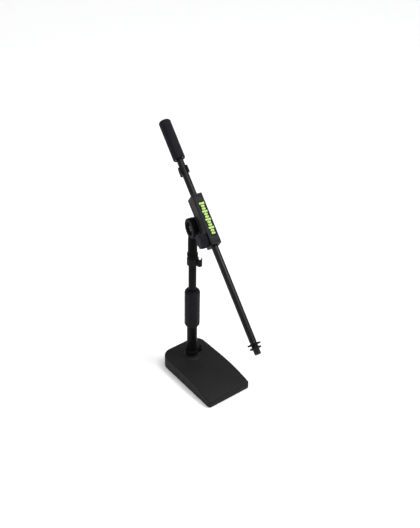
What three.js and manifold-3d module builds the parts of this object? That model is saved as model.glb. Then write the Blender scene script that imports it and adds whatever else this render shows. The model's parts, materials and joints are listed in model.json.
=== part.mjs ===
// Desktop microphone stand: a cast base, a telescoping column with a twist clutch,
// and a tilting boom that slides through a clamp block, with a counterweight at its tail.
// Millimetres, +Z up. Origin: centre of the rubber pad's bottom face, on the desk.
// +X runs from the rear of the base to its thin front edge.

import * as THREE from 'three';
import { mergeVertices } from 'three/addons/utils/BufferGeometryUtils.js';
import Module from 'manifold-3d';

const wasm = await Module();
wasm.setup();

// ---------------------------------------------------------------- driving dimensions

const GAP = 0.3;                     // clearance between faces that touch

const BASE_LENGTH = 206;
const BASE_REAR_WIDTH = 118;          // the plan widens a little towards the front
const BASE_FRONT_WIDTH = 125;
const BASE_REAR_HEIGHT = 34;         // top of the level part
const BASE_FRONT_HEIGHT = 18;
const BASE_LEVEL_LENGTH = 84;        // level part of the top, from the rear edge
const BASE_FALL_POWER = 2.3;         // how the top curves down to the front edge
const BASE_REAR_CORNER = 27;
const BASE_FRONT_CORNER = 6;
const BASE_EDGE_RADIUS = 3;
const BASE_LIFT = 1;                 // the pad stands this far below the casting
const PAD_INSET = 7;
const PAD_RECESS = 2;

const POLE_X = -50;                  // column axis, behind the middle of the base
const BOSS_RADIUS = 17.5;
const BOSS_FOOT_RADIUS = 21;
const BOSS_TOP = 39.5;

const LOWER_TUBE_RADIUS = 12.7;
const LOWER_TUBE_BORE = 11.2;
const LOWER_TUBE_TOP = 205;
const UPPER_TUBE_RADIUS = 9.5;
const UPPER_TUBE_BORE = 8;
const UPPER_TUBE_BOTTOM = 124;
const UPPER_TUBE_TOP = 340;

const GRIP_BOTTOM = 131;
const GRIP_TOP = 242;
const GRIP_RADIUS = 19;
const GRIP_WALL = 2.8;

const PIVOT_HEIGHT = 421;            // tilt axis above the desk
const BOOM_YAW = -11;                // degrees about +Z
const BOOM_PITCH = 35.2;             // degrees, microphone end down

const DISC_RADIUS = 25;              // tilt friction discs
const FACE_OUT = -9.5;               // the neck disc's faces, sideways from the column axis
const FACE_IN = 5.5;
const BOLT_RECESS = 4;                // depth of the dish round the tilt bolt
const STEM_RADIUS = 11.4;            // neck below the disc
const FLANGE_RADIUS = 13.4;
const BLOCK_WIDTH = 25.4;
const BLOCK_HEIGHT = 36;
const BLOCK_REAR = -58;              // stations along the boom, from the tilt axis
const BLOCK_FRONT = 69;
const BLOCK_CAP = 5;
const BLOCK_CORNER = 1.8;
const BLOCK_SIDE = 15.1;             // block centre plane, sideways from the column axis

const BOOM_RADIUS = 8;
const BOOM_BORE = 6.9;
const BOOM_SIDE = 15.0;              // boom axis, sideways from the column axis
const BOOM_RISE = 43.5;              // boom axis, above the tilt axis
const BOOM_REAR = -250;
const BOOM_FRONT = 305.5;

const BADGE_REAR = -36;              // lime level mark let into the top of the block
const BADGE_FRONT = 49;
const BADGE_SIDE = 17.6;
const BADGE_HALF = 7.4;
const BADGE_BARS = 12;

const LUG_SCREW_STATIONS = [-36, 36];
const LUG_PLATE = 4.7;

const KNOB_STATION = 50;             // clamp knob, along the boom
const KNOB_RADIUS = 18;
const KNOB_LOBES = 8;
const KNOB_LENGTH = 17.4;

const THREAD_RADIUS = 7.9;           // 5/8 inch microphone thread
const THREAD_TIP = 335;
const RING_A_STATION = 309.5;
const RING_B_STATION = 318.5;
const RING_THICKNESS = 3;

const WEIGHT_REAR = -257;
const WEIGHT_FRONT = -154.5;
const WEIGHT_RADIUS = 14.6;
const CLIP_STATION = -127;

const CLIP_WALL = 3.8;               // cable clips on the upper tube and the boom
const BASE_CLIP_WALL = 2.4;          // cable clip at the column's foot
const HOOK_BORE = 4.4;
const HOOK_WALL = 2;

const ROUND = 24;                    // sides of a plain round part
const SMALL_ROUND = 16;
const DISC_ROUND = 32;

// ---------------------------------------------------------------- materials

const FINISHES = {
  casting: { color: 0x34363a, roughness: 0.68, metalness: 0.35 },
  pad: { color: 0x17181a, roughness: 0.92, metalness: 0 },
  tube: { color: 0x1b1c20, roughness: 0.34, metalness: 0.5 },
  rubber: { color: 0x222329, roughness: 0.72, metalness: 0 },
  plastic: { color: 0x1c1c1f, roughness: 0.5, metalness: 0 },
  casting_black: { color: 0x25262a, roughness: 0.6, metalness: 0.3 },
  steel: { color: 0x8d9096, roughness: 0.32, metalness: 1 },
  steel_black: { color: 0x1d1e21, roughness: 0.42, metalness: 0.7 },
  nylon: { color: 0x3a3b3e, roughness: 0.55, metalness: 0 },
  lime: { color: 0xb5e235, roughness: 0.45, metalness: 0 },
};

function piece(name, geometry, finish) {
  const mesh = new THREE.Mesh(geometry, new THREE.MeshStandardMaterial(FINISHES[finish]));
  mesh.name = name;
  return mesh;
}

// ---------------------------------------------------------------- solids

// Turned part: [radius, height] corners of a closed section, about +Z.
function turned(corners, sides = ROUND) {
  const points = corners.map(([radius, height]) => new THREE.Vector2(radius, height));
  if (corners[0][0] > 0) points.push(points[0].clone());
  const shape = new THREE.LatheGeometry(points, sides);
  shape.rotateX(Math.PI / 2);
  return shape;
}

function ring(inner, outer, low, high, sides = ROUND) {
  return turned([[inner, low], [outer, low], [outer, high], [inner, high]], sides);
}

function rod(radius, low, high, sides = ROUND) {
  return turned([[0, low], [radius, low], [radius, high], [0, high]], sides);
}

function box(lowX, highX, lowY, highY, lowZ, highZ) {
  const shape = new THREE.BoxGeometry(highX - lowX, highY - lowY, highZ - lowZ);
  shape.translate((lowX + highX) / 2, (lowY + highY) / 2, (lowZ + highZ) / 2);
  return shape;
}

// Turns a part made along +Z so that it runs along +X, or along -Y.
function alongX(geometry) {
  return geometry.rotateY(Math.PI / 2);
}

function alongMinusY(geometry) {
  return geometry.rotateX(Math.PI / 2);
}

function solidOf(geometry) {
  const bare = geometry.clone();
  bare.deleteAttribute('normal');
  bare.deleteAttribute('uv');
  const merged = mergeVertices(bare, 1e-4);
  return new wasm.Manifold(new wasm.Mesh({
    numProp: 3,
    vertProperties: new Float32Array(merged.attributes.position.array),
    triVerts: new Uint32Array(merged.index.array),
  }));
}

function geometryOf(solid) {
  const mesh = solid.getMesh();
  const geometry = new THREE.BufferGeometry();
  geometry.setAttribute('position', new THREE.BufferAttribute(mesh.vertProperties, 3));
  geometry.setIndex(new THREE.BufferAttribute(mesh.triVerts, 1));
  geometry.computeVertexNormals();
  return geometry;
}

function cut(geometry, ...tools) {
  return geometryOf(tools.reduce((solid, tool) => solid.subtract(solidOf(tool)), solidOf(geometry)));
}

function join(geometry, ...others) {
  return geometryOf(others.reduce((solid, other) => solid.add(solidOf(other)), solidOf(geometry)));
}

// Rounded rectangle, centred on the origin.
function roundedRectangle(width, height, corner) {
  const x = width / 2;
  const y = height / 2;
  const shape = new THREE.Shape();
  shape.moveTo(-x + corner, -y);
  shape.lineTo(x - corner, -y);
  shape.absarc(x - corner, -y + corner, corner, -Math.PI / 2, 0);
  shape.lineTo(x, y - corner);
  shape.absarc(x - corner, y - corner, corner, 0, Math.PI / 2);
  shape.lineTo(-x + corner, y);
  shape.absarc(-x + corner, y - corner, corner, Math.PI / 2, Math.PI);
  shape.lineTo(-x, -y + corner);
  shape.absarc(-x + corner, -y + corner, corner, Math.PI, Math.PI * 1.5);
  return shape;
}

function roundHole(x, y, radius) {
  const hole = new THREE.Path();
  const quarter = Math.PI / 2;
  for (let i = 0; i < 4; i += 1) hole.absarc(x, y, radius, -i * quarter, -(i + 1) * quarter, true);
  return hole;
}

// Curved band between two radii, swept from one angle to another.
function arcBand(inner, outer, from, to, height) {
  const shape = new THREE.Shape();
  shape.absarc(0, 0, outer, from, to, false);
  shape.absarc(0, 0, inner, to, from, true);
  shape.closePath();
  return new THREE.ExtrudeGeometry(shape, { depth: height, bevelEnabled: false, curveSegments: 12 });
}

// ---------------------------------------------------------------- base

function baseTop(x) {
  const start = -BASE_LENGTH / 2 + BASE_LEVEL_LENGTH;
  const share = Math.max(0, (x - start) / (BASE_LENGTH / 2 - start));
  return BASE_REAR_HEIGHT - (BASE_REAR_HEIGHT - BASE_FRONT_HEIGHT) * share ** BASE_FALL_POWER;
}

// Half of the base's outline, rear to front on the +Y side, moved in by an inset.
function baseOutline(inset) {
  const halfLength = BASE_LENGTH / 2;
  const halfWidth = BASE_REAR_WIDTH / 2;
  const rear = BASE_REAR_CORNER;
  const front = BASE_FRONT_CORNER;
  const rearSteps = 7;
  const sideSteps = 18;
  const frontSteps = 3;
  const points = [];
  for (let i = 0; i <= rearSteps; i += 1) {
    const angle = Math.PI - (i / rearSteps) * Math.PI / 2;
    const radius = rear - inset;
    const x = -halfLength + rear + radius * Math.cos(angle);
    points.push([x, halfWidth - rear + radius * Math.sin(angle)]);
  }
  for (let i = 1; i < sideSteps; i += 1) {
    const x = -halfLength + rear + (i / sideSteps) * (BASE_LENGTH - rear - front);
    points.push([x, halfWidth - inset]);
  }
  for (let i = 0; i <= frontSteps; i += 1) {
    const angle = Math.PI / 2 - (i / frontSteps) * Math.PI / 2;
    const radius = front - inset;
    const x = halfLength - front + radius * Math.cos(angle);
    points.push([x, halfWidth - front + radius * Math.sin(angle)]);
  }
  const widen = (BASE_FRONT_WIDTH / BASE_REAR_WIDTH - 1) / BASE_LENGTH;
  return points.map(([x, y]) => [x, y * (1 + widen * (x + halfLength))]);
}

// Closed skin over stacked outlines; the flat or ruled ends are bridged from side to side.
function stackedSlab(levels) {
  const vertices = [];
  const faces = [];
  const count = levels[0].outline.length;
  levels.forEach(({ outline, height }) => {
    outline.forEach(([x, y]) => vertices.push([x, y, height(x)]));
    [...outline].reverse().forEach(([x, y]) => vertices.push([x, -y, height(x)]));
  });
  const around = count * 2;
  for (let level = 0; level < levels.length - 1; level += 1) {
    for (let i = 0; i < around; i += 1) {
      const a = level * around + i;
      const b = level * around + ((i + 1) % around);
      faces.push([a, a + around, b], [b, a + around, b + around]);
    }
  }
  const topStart = (levels.length - 1) * around;
  for (let i = 0; i < count - 1; i += 1) {
    const left = [i, i + 1];
    const right = [around - 1 - i, around - 2 - i];
    faces.push([left[0], left[1], right[0]], [left[1], right[1], right[0]]);
    faces.push([left[0], right[0], left[1]].map((v) => v + topStart));
    faces.push([left[1], right[0], right[1]].map((v) => v + topStart));
  }
  const geometry = new THREE.BufferGeometry();
  geometry.setAttribute('position', new THREE.BufferAttribute(new Float32Array(vertices.flat()), 3));
  geometry.setIndex(faces.flat());
  return geometry;
}

function baseCasting() {
  const edgeSteps = 4;
  const footChamfer = 1.2;
  const levels = [
    { outline: baseOutline(footChamfer), height: () => BASE_LIFT },
    { outline: baseOutline(0), height: () => BASE_LIFT + footChamfer },
  ];
  for (let i = 0; i <= edgeSteps; i += 1) {
    const angle = (i / edgeSteps) * Math.PI / 2;
    const inset = BASE_EDGE_RADIUS * (1 - Math.cos(angle));
    const drop = BASE_EDGE_RADIUS * (1 - Math.sin(angle));
    levels.push({ outline: baseOutline(inset), height: (x) => baseTop(x) - drop });
  }
  const slab = stackedSlab(levels);
  const boss = turned([
    [0, 20], [BOSS_FOOT_RADIUS, 20], [BOSS_FOOT_RADIUS, BASE_REAR_HEIGHT + 0.4],
    [BOSS_FOOT_RADIUS - 2, BASE_REAR_HEIGHT + 1.4], [BOSS_RADIUS + 0.6, BOSS_TOP - 1.2],
    [BOSS_RADIUS - 0.6, BOSS_TOP], [0, BOSS_TOP],
  ]).translate(POLE_X, 0, 0);
  const recess = padSolid(PAD_INSET - GAP, 0, BASE_LIFT + PAD_RECESS);
  const counterbore = rod(12, -1, 13).translate(POLE_X, 0, 0);
  const boltHole = rod(5.4, 0, 60).translate(POLE_X, 0, 0);
  return cut(join(slab, boss), recess, counterbore, boltHole);
}

function padSolid(inset, low, high) {
  return stackedSlab([
    { outline: baseOutline(Math.min(inset, BASE_FRONT_CORNER - 0.5)).map(([x, y]) => squeeze(x, y, inset)),
      height: () => low },
    { outline: baseOutline(Math.min(inset, BASE_FRONT_CORNER - 0.5)).map(([x, y]) => squeeze(x, y, inset)),
      height: () => high },
  ]);
}

// Moves an outline point further in, past what the small front corners allow.
function squeeze(x, y, inset) {
  const extra = inset - Math.min(inset, BASE_FRONT_CORNER - 0.5);
  const shrinkX = (BASE_LENGTH / 2 - inset) / (BASE_LENGTH / 2 - inset + extra);
  const shrinkY = (BASE_REAR_WIDTH / 2 - inset) / (BASE_REAR_WIDTH / 2 - inset + extra);
  return [x * shrinkX, y * shrinkY];
}

function makeBase() {
  const group = new THREE.Group();
  group.add(piece('base_weight', baseCasting(), 'casting'));
  group.add(piece('base_pad', padSolid(PAD_INSET, 0, BASE_LIFT + PAD_RECESS - GAP), 'pad'));

  const bolt = join(hexPrism(8, 4.2, 9.6), rod(4.8, 9, 50, SMALL_ROUND));
  const fasteners = new THREE.Group();
  fasteners.position.x = POLE_X;
  fasteners.add(piece('base_bolt', bolt, 'steel'));
  fasteners.add(piece('base_washer', ring(5.2, 11, 9.9, 12.7, SMALL_ROUND), 'steel'));
  group.add(fasteners);
  return group;
}

function hexPrism(cornerRadius, low, high) {
  return rod(cornerRadius, low, high, 6);
}

// ---------------------------------------------------------------- cable clip

// Spring clip: an open band round a tube, and an open hook beside it for the cable.
function hookCentre(tubeRadius, wall) {
  return tubeRadius + GAP + wall + HOOK_BORE + 0.3;
}

function cableClip(tubeRadius, width, wall = CLIP_WALL) {
  const inner = tubeRadius + GAP;
  const mouth = 0.62;
  const band = arcBand(inner, inner + wall, Math.PI + mouth, Math.PI * 3 - mouth, width);
  const hook = arcBand(HOOK_BORE, HOOK_BORE + HOOK_WALL, Math.PI * 0.78, Math.PI * 2.35, width);
  hook.translate(hookCentre(tubeRadius, wall), 0, 0);
  return join(band, hook);
}

// ---------------------------------------------------------------- column

function makeColumn() {
  const column = new THREE.Group();
  column.position.x = POLE_X;

  const plugTop = 52;
  column.add(piece('pole_foot_plug', ring(5.1, LOWER_TUBE_BORE - GAP, BOSS_TOP + GAP, plugTop), 'steel'));
  column.add(piece('pole_foot_ring',
    turned([[LOWER_TUBE_RADIUS + GAP, BOSS_TOP + GAP], [16, BOSS_TOP + GAP], [16, BOSS_TOP + 1.6],
      [15.2, BOSS_TOP + 2.4], [LOWER_TUBE_RADIUS + GAP, BOSS_TOP + 2.4]]), 'plastic'));
  column.add(piece('lower_tube',
    ring(LOWER_TUBE_BORE, LOWER_TUBE_RADIUS, BOSS_TOP + GAP, LOWER_TUBE_TOP), 'tube'));

  const baseClip = piece('base_cable_clip', cableClip(LOWER_TUBE_RADIUS, 12.5, BASE_CLIP_WALL), 'plastic');
  baseClip.position.z = BOSS_TOP + 3;
  baseClip.rotation.z = THREE.MathUtils.degToRad(75);
  column.add(baseClip);

  makeClutch(column);
  makeRiser(column);
  return column;
}

function makeClutch(column) {
  const guideLength = 38;
  const guide = turned([
    [UPPER_TUBE_RADIUS + GAP, LOWER_TUBE_TOP - guideLength],
    [LOWER_TUBE_BORE - GAP, LOWER_TUBE_TOP - guideLength],
    [LOWER_TUBE_BORE - GAP, LOWER_TUBE_TOP + GAP], [LOWER_TUBE_RADIUS - 0.2, LOWER_TUBE_TOP + GAP],
    [LOWER_TUBE_RADIUS - 0.2, LOWER_TUBE_TOP + 3], [UPPER_TUBE_RADIUS + GAP, LOWER_TUBE_TOP + 3],
  ]);
  column.add(piece('tube_guide', guide, 'nylon'));

  const colletLow = LOWER_TUBE_TOP + 3.4;
  const colletHigh = colletLow + 17;
  const cone = turned([
    [UPPER_TUBE_RADIUS + GAP, colletLow], [12.6, colletLow], [11.4, colletHigh],
    [UPPER_TUBE_RADIUS + GAP, colletHigh],
  ]);
  const slit = box(5, 20, -1.3, 1.3, colletLow - 5, colletHigh + 5);
  column.add(piece('clutch_collet', cut(cone, slit), 'nylon'));

  const skirt = LOWER_TUBE_RADIUS + GAP;
  const coreRadius = GRIP_RADIUS - GRIP_WALL - GAP;
  const core = turned([
    [skirt, GRIP_BOTTOM], [13.8, GRIP_BOTTOM], [coreRadius, GRIP_BOTTOM + 2.2],
    [coreRadius, GRIP_TOP - 2.8], [13.4, GRIP_TOP], [UPPER_TUBE_RADIUS + 0.6, GRIP_TOP],
    [UPPER_TUBE_RADIUS + 0.6, colletHigh + 3], [11.9, colletHigh + 0.6], [skirt, colletLow - 0.6],
  ]);
  column.add(piece('clutch_core', core, 'plastic'));

  const inner = GRIP_RADIUS - GRIP_WALL;
  const grip = turned([
    [inner, GRIP_BOTTOM + 2.6], [GRIP_RADIUS, GRIP_BOTTOM + 6.4], [GRIP_RADIUS, GRIP_TOP - 6],
    [inner, GRIP_TOP - 2.6],
  ], DISC_ROUND);
  column.add(piece('clutch_grip', grip, 'rubber'));
}

function makeRiser(column) {
  column.add(piece('upper_tube',
    ring(UPPER_TUBE_BORE, UPPER_TUBE_RADIUS, UPPER_TUBE_BOTTOM, UPPER_TUBE_TOP), 'tube'));

  const spigot = UPPER_TUBE_BORE - GAP;
  column.add(piece('tube_stop', turned([
    [0, UPPER_TUBE_BOTTOM - 5], [LOWER_TUBE_BORE - GAP, UPPER_TUBE_BOTTOM - 5],
    [LOWER_TUBE_BORE - GAP, UPPER_TUBE_BOTTOM - GAP], [spigot, UPPER_TUBE_BOTTOM - GAP],
    [spigot, UPPER_TUBE_BOTTOM + 14], [0, UPPER_TUBE_BOTTOM + 14],
  ]), 'nylon'));

  const clipWidth = 21;
  const poleClip = piece('column_cable_clip', cableClip(UPPER_TUBE_RADIUS, clipWidth), 'plastic');
  poleClip.position.z = UPPER_TUBE_TOP - 0.8 - clipWidth;
  poleClip.rotation.z = THREE.MathUtils.degToRad(28);
  column.add(poleClip);

  column.add(piece('column_cap', turned([
    [5.4, UPPER_TUBE_TOP - 18], [spigot, UPPER_TUBE_TOP - 18], [spigot, UPPER_TUBE_TOP + GAP],
    [12.6, UPPER_TUBE_TOP + GAP], [12.8, UPPER_TUBE_TOP + 3.6], [5.4, UPPER_TUBE_TOP + 3.6],
  ]), 'plastic'));
}

// ---------------------------------------------------------------- swivel neck

function makeNeck() {
  const neck = new THREE.Group();
  const flangeLow = UPPER_TUBE_TOP + 4 - PIVOT_HEIGHT;
  const shoulder = flangeLow + 7;
  const stem = turned([
    [0, flangeLow], [FLANGE_RADIUS - 0.5, flangeLow], [FLANGE_RADIUS, flangeLow + 1],
    [FLANGE_RADIUS, shoulder - 1.2], [STEM_RADIUS + 0.9, shoulder], [STEM_RADIUS, shoulder + 0.8],
    [STEM_RADIUS, -34], [STEM_RADIUS - 0.4, -27], [STEM_RADIUS - 1.8, -21], [5.6, -16], [0, -14],
  ]);
  const dish = -FACE_OUT - BOLT_RECESS;
  const disc = alongMinusY(turned([
    [0, -FACE_IN], [DISC_RADIUS - 0.8, -FACE_IN], [DISC_RADIUS, -FACE_IN + 0.8],
    [DISC_RADIUS, -FACE_OUT - 1.6], [DISC_RADIUS - 1.6, -FACE_OUT], [16, -FACE_OUT], [15, dish],
    [10.6, dish], [10.4, dish + 1], [9, dish + 1], [8.8, dish - 3.6], [0, dish - 3.6],
  ], DISC_ROUND));
  const clearance = alongMinusY(rod(DISC_RADIUS + 1.6, -30, -FACE_IN));
  const boltHole = alongMinusY(rod(4.4, -30, 30, SMALL_ROUND));
  const stemHole = rod(4.4, flangeLow - 1, flangeLow + 24, SMALL_ROUND);
  const body = cut(join(cut(stem, clearance), disc), boltHole, stemHole);
  neck.add(piece('swivel_neck', body, 'casting_black'));

  const studLow = UPPER_TUBE_TOP - 24 - PIVOT_HEIGHT;
  const stud = join(
    rod(4.1, studLow + 4, flangeLow + 23, SMALL_ROUND),
    hexPrism(6.8, studLow, studLow + 5.4),
  );
  neck.add(piece('swivel_stud', stud, 'steel'));
  return neck;
}

function makeTiltFasteners() {
  const group = new THREE.Group();
  const farFace = BLOCK_SIDE + BLOCK_WIDTH / 2 - 1;
  const headLow = -FACE_OUT - BOLT_RECESS - 3.6 + GAP;
  const socket = hexPrism(3.4, headLow + 1.2, headLow + 8);
  const head = cut(turned([
    [0, headLow], [7, headLow], [7, headLow + 3.6], [6.2, headLow + 4.4], [0, headLow + 4.4],
  ], SMALL_ROUND), socket);
  const shank = rod(4, -farFace - 9, headLow + 0.6, SMALL_ROUND);
  group.add(piece('tilt_bolt', alongMinusY(join(head, shank)), 'steel_black'));
  group.add(piece('friction_disc',
    alongMinusY(ring(4.6, DISC_RADIUS - 2, -FACE_IN - 1.7, -FACE_IN - GAP)), 'nylon'));
  group.add(piece('tilt_washer',
    alongMinusY(ring(4.5, 9, -farFace - 1.9, -farFace - GAP, SMALL_ROUND)), 'steel_black'));
  const nutLow = -farFace - 8.4;
  group.add(piece('tilt_nut', alongMinusY(cut(hexPrism(7.4, nutLow, -farFace - 2.2),
    rod(4.3, nutLow - 2, -farFace, SMALL_ROUND))), 'steel_black'));
  return group;
}

// ---------------------------------------------------------------- clamp block

const BLOCK_BOTTOM = BOOM_RISE - BLOCK_HEIGHT / 2;
const BLOCK_TOP = BOOM_RISE + BLOCK_HEIGHT / 2;
const BLOCK_NEAR = BLOCK_SIDE - BLOCK_WIDTH / 2;
const BLOCK_FAR = BLOCK_SIDE + BLOCK_WIDTH / 2;

// Section of the block across the boom: a rounded bar with a round hole for the boom.
function blockSection(bore) {
  const shape = roundedRectangle(BLOCK_HEIGHT, BLOCK_WIDTH, BLOCK_CORNER);
  shape.holes.push(roundHole(0, BOOM_SIDE - BLOCK_SIDE, bore));
  return shape;
}

function blockLength(section, from, to, bevel) {
  const solid = new THREE.ExtrudeGeometry(section, {
    depth: to - from - 2 * bevel,
    bevelEnabled: bevel > 0,
    bevelThickness: bevel,
    bevelSize: bevel,
    bevelOffset: -bevel,
    bevelSegments: 1,
    curveSegments: 6,
  });
  return solid.rotateY(Math.PI / 2).translate(from + bevel, BLOCK_SIDE, BOOM_RISE);
}

function onBoomAxis(geometry) {
  return alongX(geometry).translate(0, BOOM_SIDE, BOOM_RISE);
}

function onKnobAxis(geometry) {
  return alongMinusY(geometry).translate(KNOB_STATION, 0, BOOM_RISE);
}

function makeBlock() {
  const block = new THREE.Group();
  const linerWall = 1;
  const shellBore = BOOM_RADIUS + GAP * 2 + linerWall;
  const capFront = BLOCK_FRONT - BLOCK_CAP;
  const capRear = BLOCK_REAR + BLOCK_CAP;
  const pocketFloor = BLOCK_TOP - 1.6;

  const blank = blockLength(blockSection(shellBore), capRear + GAP, capFront - GAP, 0);
  const screwHole = onKnobAxis(rod(4.2, -BOOM_SIDE, 0, SMALL_ROUND));
  const pocket = box(BADGE_REAR - GAP, BADGE_FRONT + GAP, BADGE_SIDE - BADGE_HALF - GAP,
    BADGE_SIDE + BADGE_HALF + GAP, pocketFloor, BLOCK_TOP + 1);
  const pilots = LUG_SCREW_STATIONS.map((station) => rod(2.2, BLOCK_BOTTOM - 1, BLOCK_BOTTOM + 7, 12)
    .translate(station, BLOCK_SIDE, 0));
  block.add(piece('block_shell', cut(blank, screwHole, pocket, ...pilots), 'plastic'));

  const capSection = blockSection(BOOM_RADIUS + GAP + 0.2);
  block.add(piece('block_cap_front', blockLength(capSection, capFront, BLOCK_FRONT, 0.8), 'plastic'));
  block.add(piece('block_cap_rear', blockLength(capSection, BLOCK_REAR, capRear, 0.8), 'plastic'));

  const linerInner = BOOM_RADIUS + GAP;
  const linerOuter = shellBore - GAP;
  const liners = { liner_rear: [capRear + 1, capRear + 31], liner_front: [8, 42] };
  Object.entries(liners).forEach(([name, [from, to]]) => {
    block.add(piece(name, onBoomAxis(ring(linerInner, linerOuter, from, to)), 'nylon'));
  });

  const shoeTop = -(BOOM_SIDE - BOOM_RADIUS - GAP);
  block.add(piece('clamp_shoe', onKnobAxis(rod(3.8, shoeTop, shoeTop + 1.7, SMALL_ROUND)), 'nylon'));
  block.add(piece('knob_washer',
    onKnobAxis(ring(3.5, 7, -BLOCK_NEAR + GAP, -BLOCK_NEAR + 1.8, SMALL_ROUND)), 'steel_black'));
  makeBadge(block, pocketFloor);
  makeLug(block);
  return block;
}

// A plain level-meter motif: bars of different lengths across a spine.
function makeBadge(block, floor) {
  const plate = box(BADGE_REAR, BADGE_FRONT, BADGE_SIDE - BADGE_HALF, BADGE_SIDE + BADGE_HALF,
    floor + 0.2, BLOCK_TOP - 0.5);
  block.add(piece('badge_plate', plate, 'plastic'));

  const margin = 1.5;
  const pitch = (BADGE_FRONT - BADGE_REAR - 2 * margin) / BADGE_BARS;
  const barShare = 0.68;
  const spineHalf = 0.8;
  const shortest = 3.6;
  const longest = BADGE_HALF - 0.9;
  const side = [];
  for (let i = 0; i < BADGE_BARS; i += 1) {
    const low = BADGE_REAR + margin + i * pitch;
    const high = low + pitch * barShare;
    const reach = shortest + (longest - shortest) * (0.5 + 0.5 * Math.cos(i * 2.1));
    side.push([low, spineHalf], [low, reach], [high, reach], [high, spineHalf]);
  }
  const outline = [...side, ...side.map(([x, y]) => [x, -y]).reverse()];
  const shape = new THREE.Shape(outline.map(([x, y]) => new THREE.Vector2(x, y)));
  const bars = new THREE.ExtrudeGeometry(shape, { depth: 0.45, bevelEnabled: false });
  block.add(piece('badge_bars', bars.translate(0, BADGE_SIDE, BLOCK_TOP - 0.25), 'lime'));
}

// Tilting half of the friction joint, bolted under the block by its flange.
function makeLug(block) {
  const discNear = FACE_IN + 2;
  const discFar = BLOCK_FAR - 1;
  const disc = alongMinusY(turned([
    [0, -discFar], [DISC_RADIUS - 2.5, -discFar], [DISC_RADIUS - 0.5, -discFar + 2],
    [DISC_RADIUS - 0.5, -discNear - 0.6], [DISC_RADIUS - 1.1, -discNear], [0, -discNear],
  ], DISC_ROUND));
  const flange = box(-44, 44, BLOCK_NEAR + 6.1, BLOCK_FAR - 2, BLOCK_BOTTOM - GAP - LUG_PLATE,
    BLOCK_BOTTOM - GAP);
  const web = box(-15, 15, discNear + 1, discFar - 1, 5, BLOCK_BOTTOM - GAP - 1);
  const axle = alongMinusY(rod(4.5, -40, 10, SMALL_ROUND));
  const screwHoles = LUG_SCREW_STATIONS.map((station) => rod(2.3, 10, 40, 12)
    .translate(station, BLOCK_SIDE, 0));
  block.add(piece('tilt_lug', cut(join(disc, flange, web), axle, ...screwHoles), 'casting_black'));

  const headTop = BLOCK_BOTTOM - GAP - LUG_PLATE - GAP;
  LUG_SCREW_STATIONS.forEach((station, index) => {
    const screw = join(rod(1.9, headTop - 1, BLOCK_BOTTOM + 6, 12), rod(3.6, headTop - 2.6, headTop, 16));
    block.add(piece(`lug_screw_${index + 1}`, screw.translate(station, BLOCK_SIDE, 0), 'steel_black'));
  });
}

function makeKnob() {
  const group = new THREE.Group();
  const low = -BLOCK_NEAR + 2.2;
  const high = low + KNOB_LENGTH;
  const bevel = 1.8;
  const depth = 1;
  const outline = [];
  const steps = KNOB_LOBES * 6;
  for (let i = 0; i < steps; i += 1) {
    const angle = (i / steps) * Math.PI * 2;
    const radius = KNOB_RADIUS - depth + depth * Math.cos(angle * KNOB_LOBES);
    outline.push(new THREE.Vector2(radius * Math.cos(angle), radius * Math.sin(angle)));
  }
  const body = new THREE.ExtrudeGeometry(new THREE.Shape(outline), {
    depth: high - low - 2 * bevel,
    bevelThickness: bevel,
    bevelSize: bevel,
    bevelOffset: -bevel,
    bevelSegments: 2,
  }).translate(0, 0, low + bevel);
  const capRecess = rod(9.3, high - 1.7, high + 1, 24);
  const screwSocket = rod(3.3, low - 1, low + 11, SMALL_ROUND);
  group.add(piece('clamp_knob', onKnobAxis(cut(body, capRecess, screwSocket)), 'rubber'));
  group.add(piece('knob_cap', onKnobAxis(turned([
    [0, high - 1.4], [9, high - 1.4], [9, high - 0.3], [7.6, high + 0.3], [0, high + 0.5],
  ], 24)), 'plastic'));
  const screwTip = -(BOOM_SIDE - BOOM_RADIUS - GAP) + 1.7 + GAP;
  group.add(piece('knob_screw', onKnobAxis(rod(3, screwTip, low + 10.6, SMALL_ROUND)), 'steel_black'));
  return group;
}

// ---------------------------------------------------------------- boom

function makeBoom() {
  const boom = new THREE.Group();
  boom.add(piece('boom_tube', onBoomAxis(ring(BOOM_BORE, BOOM_RADIUS, BOOM_REAR, BOOM_FRONT)), 'tube'));

  const spigot = BOOM_BORE - GAP;
  boom.add(piece('thread_stud', onBoomAxis(turned([
    [0, BOOM_FRONT - 20], [spigot, BOOM_FRONT - 20], [spigot, BOOM_FRONT + GAP],
    [THREAD_RADIUS, BOOM_FRONT + GAP], [THREAD_RADIUS, THREAD_TIP - 1],
    [THREAD_RADIUS - 0.9, THREAD_TIP], [0, THREAD_TIP],
  ])), 'steel_black'));
  boom.add(piece('tail_plug', onBoomAxis(turned([
    [0, BOOM_REAR - 2], [BOOM_RADIUS - 0.4, BOOM_REAR - 2], [BOOM_RADIUS - 0.4, BOOM_REAR - GAP],
    [spigot, BOOM_REAR - GAP], [spigot, BOOM_REAR + 10], [0, BOOM_REAR + 10],
  ], SMALL_ROUND)), 'nylon'));

  const bore = THREAD_RADIUS + GAP;
  const wing = join(rod(12.6, 0, RING_THICKNESS), box(-4.2, 4.2, -15.5, 15.5, 0, RING_THICKNESS));
  const lockWing = cut(wing, rod(bore, -1, RING_THICKNESS + 1)).rotateZ(0.39);
  boom.add(piece('lock_wing', onBoomAxis(lockWing.translate(0, 0, RING_A_STATION)), 'plastic'));
  const lockRing = ring(bore, 13.5, RING_B_STATION, RING_B_STATION + RING_THICKNESS);
  boom.add(piece('lock_ring', onBoomAxis(lockRing), 'plastic'));

  makeCounterweight(boom);

  const clipWidth = 16;
  const clip = cableClip(BOOM_RADIUS, clipWidth).translate(0, 0, CLIP_STATION - clipWidth / 2);
  boom.add(piece('boom_cable_clip', onBoomAxis(clip), 'plastic'));
  return boom;
}

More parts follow.
